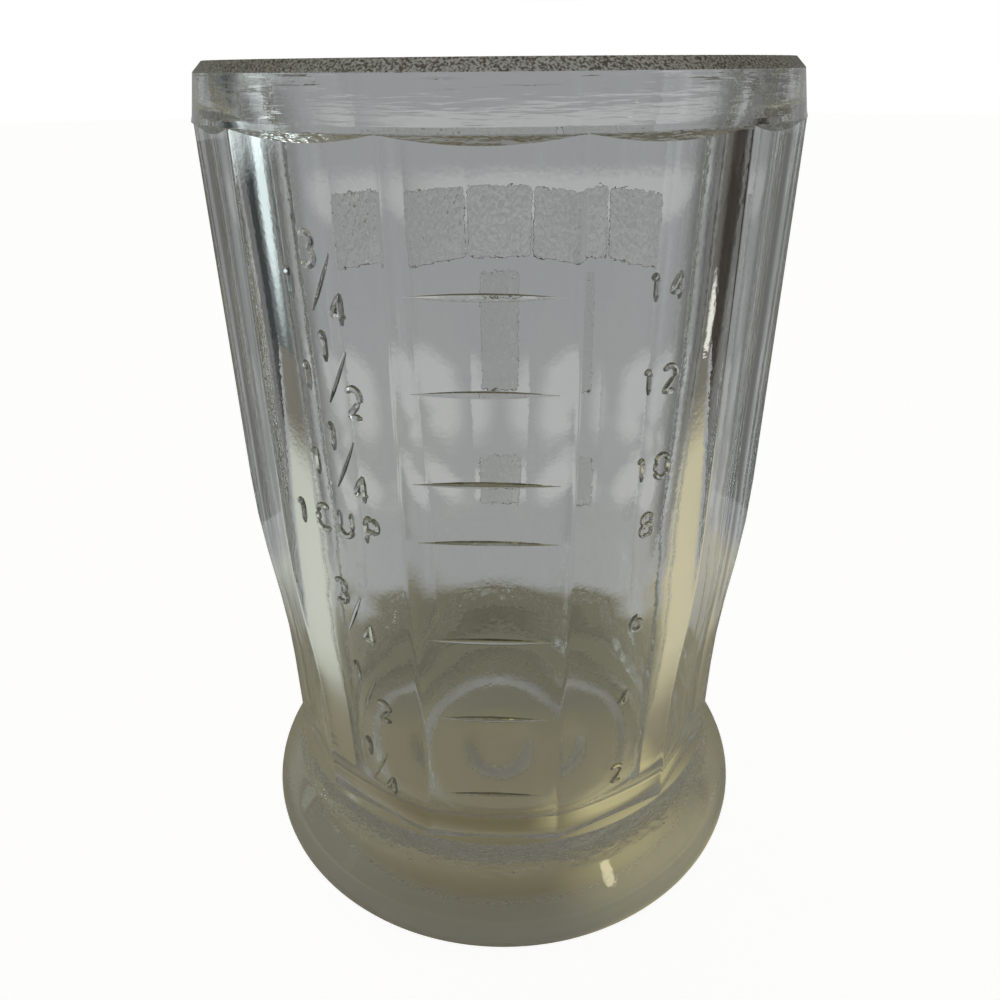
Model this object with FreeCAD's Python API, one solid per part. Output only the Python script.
import FreeCAD, Part

import math
import os

from FreeCAD import Vector

# A pressed-glass measuring jar that stands on a heavy round foot, in millimetres.
# +Z is up and the origin is the middle of the ring that the jar stands on.
# The front panel, which carries the measuring lines, faces -Y.

# Driving sizes of the jar.
PANEL_COUNT = 12
JAR_HEIGHT = 137.0
BAND_RADIUS = 44.2
BAND_HEIGHT = 7.3
BAND_LIP_HEIGHT = 0.7
BAND_LIP_DEPTH = 0.22
BAND_TAPER = 1.1
RIM_CHAMFER = 1.35
SHOULDER_SLOPE = 1.25
SHOULDER_DEPTH = 3.0

# The flat panels: nearly upright above and below, with one gentle step between.
UPPER_DRAFT = 0.35
STEP_DEPTH = 2.7
STEP_TOP_HEIGHT = 66.8
STEP_FOOT_HEIGHT = 43.0
STEP_ROUNDING = 140.0
LOWER_DRAFT = 0.3

# The neck under the panels, and the foot below it with its recessed underside.
LEDGE_HEIGHT = 20.9
LEDGE_MARGIN = 0.2
LEDGE_RISE = 0.6
NECK_FLARE = 1.15
NECK_HEIGHT = 14.2
NECK_ROUNDING = 5.0
FOOT_BULGE = 4.8
FOOT_BULGE_HEIGHT = 5.3
FOOT_CREST_HEIGHT = 10.1
FOOT_CREST_DEPTH = 1.6
FOOT_UNDERCUT = 2.9
STANDING_WIDTH = 12.0
RECESS_DEPTH = 4.0
RECESS_SLOPE = 7.0
BOSS_SHARE = 0.5
BOSS_SLOPE = 5.0
BOSS_GAP = 0.3
UNDERSIDE_ROUNDING = 6.0

# The inside, a little wider at the mouth than at the floor.
MOUTH_WALL = 4.9
MOUTH_LAND = 6.0
MOUTH_CHAMFER = 0.6
FLOOR_HEIGHT = 13.5
FLOOR_WALL = 3.85
FLOOR_ROUNDING = 14.0

# Raised measuring marks, lowest first: 2 to 14 fluid ounces in steps of 2.
LINE_HEIGHTS = [30.8, 47.3, 63.0, 79.4, 88.1, 100.4, 112.3]
LINE_LENGTHS = [16.1, 16.7, 17.9, 18.6, 19.0, 18.3, 19.0]
LINE_THICKNESS = 1.1
OUNCE_COUNT_PER_LINE = 2
OUNCE_SHIFT = 0.5
OUNCE_DIGIT_HEIGHT = 3.4
CUP_DIGIT_HEIGHT = 3.9
DIGIT_PITCH = 0.97
STROKE_SHARE = 0.19
MARK_RELIEF = 0.5
MARK_ROOT = 1.0
CUP_RISE = 0.6
CUP_MARKS = [
    ("", "1", "4", 0.6),
    ("", "1", "2", 0.8),
    ("", "3", "4", 0.6),
    None,
    ("1", "1", "4", 2.4),
    ("1", "1", "2", 2.6),
    ("1", "3", "4", 1.4),
]
ONE_CUP_PLACES = {"1": -6.8, "C": -2.7, "U": 1.4, "P": 6.0}
WHOLE_PLACE = (-5.2, -0.6)
TOP_PLACE = (-1.8, 3.8)
BOTTOM_PLACE = (2.4, -3.0)
SLASH_REACH = (1.75, 3.6)

# Panels that carry marks or fields, counted from the front one towards +X.
FRONT_PANEL = 0
OUNCE_PANEL = 1
CUP_PANEL = -1
BACK_PANEL = PANEL_COUNT // 2

# Plain raised fields on the back: panels from the back one, width, height, middle height.
FIELD_CORNER = 1.2
FIELDS = [
    (-1, 22.0, 14.0, 106.5),
    (0, 22.0, 14.0, 106.5),
    (1, 22.0, 14.0, 106.5),
    (0, 14.0, 26.0, 83.5),
    (0, 17.0, 12.0, 49.0),
]

# Worked out from the sizes above.
PANEL_ANGLE = 360.0 / PANEL_COUNT
FLATNESS = math.cos(math.radians(PANEL_ANGLE / 2))
BAND_FOOT_HEIGHT = JAR_HEIGHT - BAND_HEIGHT
TOP_INSET = BAND_RADIUS * FLATNESS
UPPER_INSET = TOP_INSET - UPPER_DRAFT
LOWER_INSET = UPPER_INSET - STEP_DEPTH
BASE_INSET = LOWER_INSET - LOWER_DRAFT
LEDGE_RADIUS = BASE_INSET / FLATNESS + LEDGE_MARGIN
NECK_RADIUS = LEDGE_RADIUS + NECK_FLARE
FOOT_RADIUS = NECK_RADIUS + FOOT_BULGE
STANDING_RADIUS = FOOT_RADIUS - FOOT_UNDERCUT
RECESS_RADIUS = STANDING_RADIUS - STANDING_WIDTH - RECESS_SLOPE
BOSS_RADIUS = RECESS_RADIUS * BOSS_SHARE
RIM_OUTER_RADIUS = BAND_RADIUS - BAND_TAPER - RIM_CHAMFER
MOUTH_RADIUS = BAND_RADIUS - MOUTH_WALL
FLOOR_RADIUS = LOWER_INSET - FLOOR_WALL
CORE_RADIUS = FLOOR_RADIUS / 2


def point(across, height):
    """A point of an outline, in the upright plane through the axis."""
    return Vector(across, 0, height)


def rounded_edges(corners):
    """Straight edges through (across, height, rounding) corners, with arcs at the roundings."""
    edges = []
    last = point(*corners[0][:2])
    for before, corner, after in zip(corners, corners[1:], corners[2:]):
        middle = point(*corner[:2])
        if corner[2] == 0:
            edges.append(Part.LineSegment(last, middle).toShape())
            last = middle
            continue
        back = (point(*before[:2]) - middle).normalize()
        onward = (point(*after[:2]) - middle).normalize()
        half_angle = back.getAngle(onward) / 2
        reach = corner[2] / math.tan(half_angle)
        centre = middle + (back + onward).normalize() * (corner[2] / math.sin(half_angle))
        start = middle + back * reach
        end = middle + onward * reach
        crown = centre + (middle - centre).normalize() * corner[2]
        edges.append(Part.LineSegment(last, start).toShape())
        edges.append(Part.Arc(start, crown, end).toShape())
        last = end
    edges.append(Part.LineSegment(last, point(*corners[-1][:2])).toShape())
    return edges


def bulge_arc(widest, end):
    """An arc that is upright at its widest point and runs from there to the end point."""
    across = widest.x - end.x
    along = end.z - widest.z
    radius = (across**2 + along**2) / (2 * across)
    half_turn = math.atan2(along, radius - across) / 2
    inward = radius * (1 - math.cos(half_turn))
    middle = point(widest.x - inward, widest.z + radius * math.sin(half_turn))
    return Part.Arc(widest, middle, end).toShape()


def turned(edges):
    """The solid made by turning a closed outline once round the axis."""
    outline = Part.Wire(Part.__sortEdges__(edges))
    return Part.Face(outline).revolve(Vector(0, 0, 0), Vector(0, 0, 1), 360)


def panel_corners():
    """Distance of a panel's face from the axis at each height, from the neck up to the band."""
    return [
        (BASE_INSET, NECK_HEIGHT + NECK_ROUNDING / 2, 0),
        (LOWER_INSET, STEP_FOOT_HEIGHT, STEP_ROUNDING),
        (UPPER_INSET, STEP_TOP_HEIGHT, STEP_ROUNDING),
        (TOP_INSET, BAND_FOOT_HEIGHT, 0),
    ]


def make_panelled_body():
    """The part between foot and band: slabs two panels apart, laid across each other."""
    right = panel_corners()
    left = [(-across, height, rounding) for across, height, rounding in reversed(right)]
    edges = rounded_edges(right) + rounded_edges(left)
    edges.append(Part.LineSegment(point(*right[-1][:2]), point(*left[0][:2])).toShape())
    edges.append(Part.LineSegment(point(*left[-1][:2]), point(*right[0][:2])).toShape())
    section = Part.Face(Part.Wire(Part.__sortEdges__(edges)))
    section.translate(Vector(0, -2 * BAND_RADIUS, 0))
    slab = section.extrude(Vector(0, 4 * BAND_RADIUS, 0))
    body = slab
    for turn in range(1, PANEL_COUNT // 2):
        other = slab.copy()
        other.rotate(Vector(0, 0, 0), Vector(0, 0, 1), turn * PANEL_ANGLE)
        body = body.common(other)
    return body


def make_foot():
    """The round foot, its recessed underside, and the neck that the panels stand on."""
    widest = point(FOOT_RADIUS, FOOT_BULGE_HEIGHT)
    underside = rounded_edges([
        (0, BOSS_GAP, 0),
        (BOSS_RADIUS - BOSS_SLOPE, BOSS_GAP, UNDERSIDE_ROUNDING),
        (BOSS_RADIUS, RECESS_DEPTH, UNDERSIDE_ROUNDING),
        (RECESS_RADIUS, RECESS_DEPTH, UNDERSIDE_ROUNDING),
        (RECESS_RADIUS + RECESS_SLOPE, 0, UNDERSIDE_ROUNDING),
        (STANDING_RADIUS, 0, 0),
    ])
    neck = rounded_edges([
        (NECK_RADIUS, NECK_HEIGHT, 0),
        (LEDGE_RADIUS, NECK_HEIGHT + NECK_ROUNDING / 2, NECK_ROUNDING),
        (LEDGE_RADIUS, LEDGE_HEIGHT, 0),
        (CORE_RADIUS, LEDGE_HEIGHT + LEDGE_RISE, 0),
        (0, LEDGE_HEIGHT + LEDGE_RISE, 0),
        (0, BOSS_GAP, 0),
    ])
    crest = point(FOOT_RADIUS - FOOT_CREST_DEPTH, FOOT_CREST_HEIGHT)
    bead = [
        bulge_arc(widest, point(STANDING_RADIUS, 0)),
        bulge_arc(widest, crest),
        Part.LineSegment(crest, point(NECK_RADIUS, NECK_HEIGHT)).toShape(),
    ]
    return turned(underside + bead + neck)


def make_band():
    """The plain band round the mouth, with its ground rim above and its shoulder below."""
    shoulder_radius = BAND_RADIUS - SHOULDER_SLOPE * SHOULDER_DEPTH
    shoulder_foot = BAND_FOOT_HEIGHT - SHOULDER_DEPTH
    return turned(rounded_edges([
        (CORE_RADIUS, shoulder_foot, 0),
        (shoulder_radius, shoulder_foot, 0),
        (BAND_RADIUS, BAND_FOOT_HEIGHT, 0),
        (BAND_RADIUS - BAND_LIP_DEPTH, BAND_FOOT_HEIGHT + BAND_LIP_HEIGHT, 0),
        (BAND_RADIUS - BAND_TAPER, JAR_HEIGHT - RIM_CHAMFER, 0),
        (RIM_OUTER_RADIUS, JAR_HEIGHT, 0),
        (CORE_RADIUS, JAR_HEIGHT, 0),
        (CORE_RADIUS, shoulder_foot, 0),
    ]))


def make_cavity():
    """The smooth round inside, open at the top, with a straight land at the mouth."""
    above = JAR_HEIGHT + RIM_CHAMFER
    flared_radius = MOUTH_RADIUS + MOUTH_CHAMFER
    return turned(rounded_edges([
        (0, FLOOR_HEIGHT, 0),
        (FLOOR_RADIUS, FLOOR_HEIGHT, FLOOR_ROUNDING),
        (MOUTH_RADIUS, JAR_HEIGHT - MOUTH_LAND, 0),
        (MOUTH_RADIUS, JAR_HEIGHT - MOUTH_CHAMFER, 0),
        (flared_radius, JAR_HEIGHT, 0),
        (flared_radius, above, 0),
        (0, above, 0),
        (0, FLOOR_HEIGHT, 0),
    ]))


def make_jar():
    """The whole pressing, without its raised marks."""
    outside = make_panelled_body().fuse([make_foot(), make_band()])
    jar = outside.cut(make_cavity()).removeSplitter()
    return jar.Solids[0]


def panel_inset(height):
    """How far a panel's face is from the axis at one height."""
    face_line = Part.Wire(rounded_edges(panel_corners()))
    level = Part.LineSegment(point(0, height), point(BAND_RADIUS, height)).toShape()
    return face_line.section(level).Vertexes[0].X


def on_panel(shape, panel, height):
    """Move a shape drawn on the plane y = 0 onto a panel, leaning with it."""
    probe = 0.5
    rise = panel_inset(height + probe) - panel_inset(height - probe)
    placed = shape.copy()
    placed.rotate(Vector(0, 0, 0), Vector(1, 0, 0), math.degrees(math.atan2(rise, 2 * probe)))
    placed.translate(Vector(0, -panel_inset(height), height))
    placed.rotate(Vector(0, 0, 0), Vector(0, 0, 1), panel * PANEL_ANGLE)
    return placed


def raised(face):
    """A face on the plane y = 0, thickened into the wall and out of it."""
    block = face.copy()
    block.translate(Vector(0, -MARK_RELIEF, 0))
    return block.extrude(Vector(0, MARK_RELIEF + MARK_ROOT, 0))


def straight_stroke(start, end, width):
    """A flat stroke with round ends between two points."""
    side = (end - start).normalize().cross(Vector(0, 1, 0)) * (width / 2)
    ahead = (end - start).normalize() * (width / 2)
    edges = [
        Part.LineSegment(start + side, end + side).toShape(),
        Part.Arc(end + side, end + ahead, end - side).toShape(),
        Part.LineSegment(end - side, start - side).toShape(),
        Part.Arc(start - side, start - ahead, start + side).toShape(),
    ]
    return raised(Part.Face(Part.Wire(edges)))


def on_circle(centre, radius, degrees):
    """A point on an upright circle."""
    angle = math.radians(degrees)
    return centre + point(radius * math.cos(angle), radius * math.sin(angle))


def curved_stroke(centre, radius, first, last, width):
    """A flat stroke along an arc from the first angle to the last, with round ends."""
    outer = radius + width / 2
    inner = radius - width / 2
    middle = (first + last) / 2
    past = math.copysign(math.degrees(width / 2 / radius), last - first)
    edges = [
        Part.Arc(on_circle(centre, outer, first), on_circle(centre, outer, middle),
                 on_circle(centre, outer, last)).toShape(),
        Part.Arc(on_circle(centre, outer, last), on_circle(centre, radius, last + past),
                 on_circle(centre, inner, last)).toShape(),
        Part.Arc(on_circle(centre, inner, last), on_circle(centre, inner, middle),
                 on_circle(centre, inner, first)).toShape(),
        Part.Arc(on_circle(centre, inner, first), on_circle(centre, radius, first - past),
                 on_circle(centre, outer, first)).toShape(),
    ]
    return raised(Part.Face(Part.Wire(edges)))


def ring_stroke(centre, radius, width):
    """A flat stroke round a whole circle."""
    outer = Part.Circle(centre, Vector(0, 1, 0), radius + width / 2).toShape()
    inner = Part.Circle(centre, Vector(0, 1, 0), radius - width / 2).toShape()
    disc = Part.Face(Part.Wire([outer]))
    return raised(disc.cut(Part.Face(Part.Wire([inner]))).Faces[0])


# Each figure is drawn in a box 1 high and 0.6 wide: (x, z, x, z) is a straight stroke,
# (x, z, radius, first angle, last angle) is an arc and (x, z, radius) is a whole circle.
FIGURES = {
    "0": [(0.02, 0.28, 0.02, 0.72), (0.58, 0.28, 0.58, 0.72),
          (0.3, 0.72, 0.28, 0, 180), (0.3, 0.28, 0.28, 180, 360)],
    "1": [(0.34, 0.0, 0.34, 1.0), (0.34, 1.0, 0.12, 0.8)],
    "2": [(0.3, 0.72, 0.28, 160, -35), (0.53, 0.56, 0.02, 0.0), (0.02, 0.0, 0.6, 0.0)],
    "3": [(0.3, 0.76, 0.24, 150, -90), (0.3, 0.27, 0.27, 90, -150)],
    "4": [(0.42, 1.0, 0.0, 0.28), (0.0, 0.28, 0.6, 0.28), (0.42, 1.0, 0.42, 0.0)],
    "6": [(0.3, 0.28, 0.28), (0.72, 0.28, 0.7, 180, 125)],
    "8": [(0.3, 0.26, 0.26), (0.3, 0.77, 0.23)],
    "C": [(0.32, 0.68, 0.3, 40, 180), (0.02, 0.68, 0.02, 0.32), (0.32, 0.32, 0.3, 180, 320)],
    "U": [(0.02, 1.0, 0.02, 0.3), (0.3, 0.3, 0.28, 180, 360), (0.58, 0.3, 0.58, 1.0)],
    "P": [(0.05, 0.0, 0.05, 1.0), (0.05, 1.0, 0.34, 1.0),
          (0.34, 0.75, 0.25, 90, -90), (0.34, 0.5, 0.05, 0.5)],
}
FIGURE_MIDDLE = (0.3, 0.5)


def make_figure(name, size, across, up):
    """One raised figure as a solid, with its middle at the given place on the panel."""
    corner = point(across - FIGURE_MIDDLE[0] * size, up - FIGURE_MIDDLE[1] * size)
    width = STROKE_SHARE * size
    strokes = []
    for numbers in FIGURES[name]:
        first = corner + point(*numbers[:2]) * size
        if len(numbers) == 4:
            strokes.append(straight_stroke(first, corner + point(*numbers[2:]) * size, width))
        elif len(numbers) == 5:
            strokes.append(curved_stroke(first, numbers[2] * size, numbers[3], numbers[4], width))
        else:
            strokes.append(ring_stroke(first, numbers[2] * size, width))
    figure = strokes[0]
    if len(strokes) > 1:
        figure = figure.fuse(strokes[1:]).removeSplitter()
    return figure


def make_level_line(length):
    """A raised line that is widest in the middle and comes to a point at both ends."""
    end = point(length / 2, 0)
    crest = point(0, LINE_THICKNESS / 2)
    edges = [
        Part.Arc(-end, crest, end).toShape(),
        Part.Arc(end, -crest, -end).toShape(),
    ]
    return raised(Part.Face(Part.Wire(edges)))


def make_fraction(whole, top, bottom, across):
    """The solids of a fraction: figures either side of a slash, and a whole number or none."""
    reach = point(*SLASH_REACH)
    middle = point(across, CUP_RISE)
    width = STROKE_SHARE * CUP_DIGIT_HEIGHT
    solids = [straight_stroke(middle - reach, middle + reach, width)]
    for name, place in ((whole, WHOLE_PLACE), (top, TOP_PLACE), (bottom, BOTTOM_PLACE)):
        if name:
            solids.append(make_figure(name, CUP_DIGIT_HEIGHT, across + place[0], CUP_RISE + place[1]))
    return solids


def make_level_lines():
    """The measuring lines of the front panel."""
    lines = []
    for height, length in zip(LINE_HEIGHTS, LINE_LENGTHS):
        lines.append(on_panel(make_level_line(length), FRONT_PANEL, height))
    return lines


def make_ounce_marks():
    """The even numbers beside the lines, on the panel to the right of the front one."""
    marks = []
    for step, height in enumerate(LINE_HEIGHTS, start=1):
        digits = str(step * OUNCE_COUNT_PER_LINE)
        pitch = DIGIT_PITCH * OUNCE_DIGIT_HEIGHT
        for place, digit in enumerate(digits):
            across = OUNCE_SHIFT + (place - (len(digits) - 1) / 2) * pitch
            figure = make_figure(digit, OUNCE_DIGIT_HEIGHT, across, 0)
            marks.append(on_panel(figure, OUNCE_PANEL, height))
    return marks


def make_cup_marks():
    """The parts of a cup beside the lines, on the panel to the left of the front one."""
    marks = []
    for height, mark in zip(LINE_HEIGHTS, CUP_MARKS):
        if mark is None:
            for name, across in ONE_CUP_PLACES.items():
                figure = make_figure(name, CUP_DIGIT_HEIGHT, across, 0)
                marks.append(on_panel(figure, CUP_PANEL, height))
        else:
            for solid in make_fraction(*mark):
                marks.append(on_panel(solid, CUP_PANEL, height))
    return marks


def make_field(width, height):
    """A plain raised field with rounded corners."""
    half_width = width / 2
    half_height = height / 2
    outline = Part.Wire(rounded_edges([
        (0, -half_height, 0),
        (half_width, -half_height, FIELD_CORNER),
        (half_width, half_height, FIELD_CORNER),
        (-half_width, half_height, FIELD_CORNER),
        (-half_width, -half_height, FIELD_CORNER),
        (0, -half_height, 0),
    ]))
    return raised(Part.Face(outline))


def make_label_fields():
    """The plain fields: a row of three near the top, and two on the back panel below it."""
    fields = []
    for turn, width, height, middle in FIELDS:
        fields.append(on_panel(make_field(width, height), BACK_PANEL + turn, middle))
    return fields


def outside_of(jar, shapes):
    """The part of each shape that stands proud of the wall, as one compound."""
    solids = []
    for shape in shapes:
        solids += shape.cut(jar).Solids
    return Part.makeCompound(solids)


os.makedirs("parts", exist_ok=True)
glass_jar = make_jar()
nodes = {
    "glass_jar": glass_jar,
    "level_lines": outside_of(glass_jar, make_level_lines()),
    "ounce_marks": outside_of(glass_jar, make_ounce_marks()),
    "cup_marks": outside_of(glass_jar, make_cup_marks()),
    "label_fields": outside_of(glass_jar, make_label_fields()),
}
for node, shape in nodes.items():
    shape.exportStep("parts/" + node + ".step")
    box = shape.optimalBoundingBox(True, False)
    print(node, "solids", len(shape.Solids), "valid", shape.isValid(), "volume", round(shape.Volume, 1),
          "box", [round(side, 2) for side in (box.XMin, box.XMax, box.YMin, box.YMax, box.ZMin, box.ZMax)])
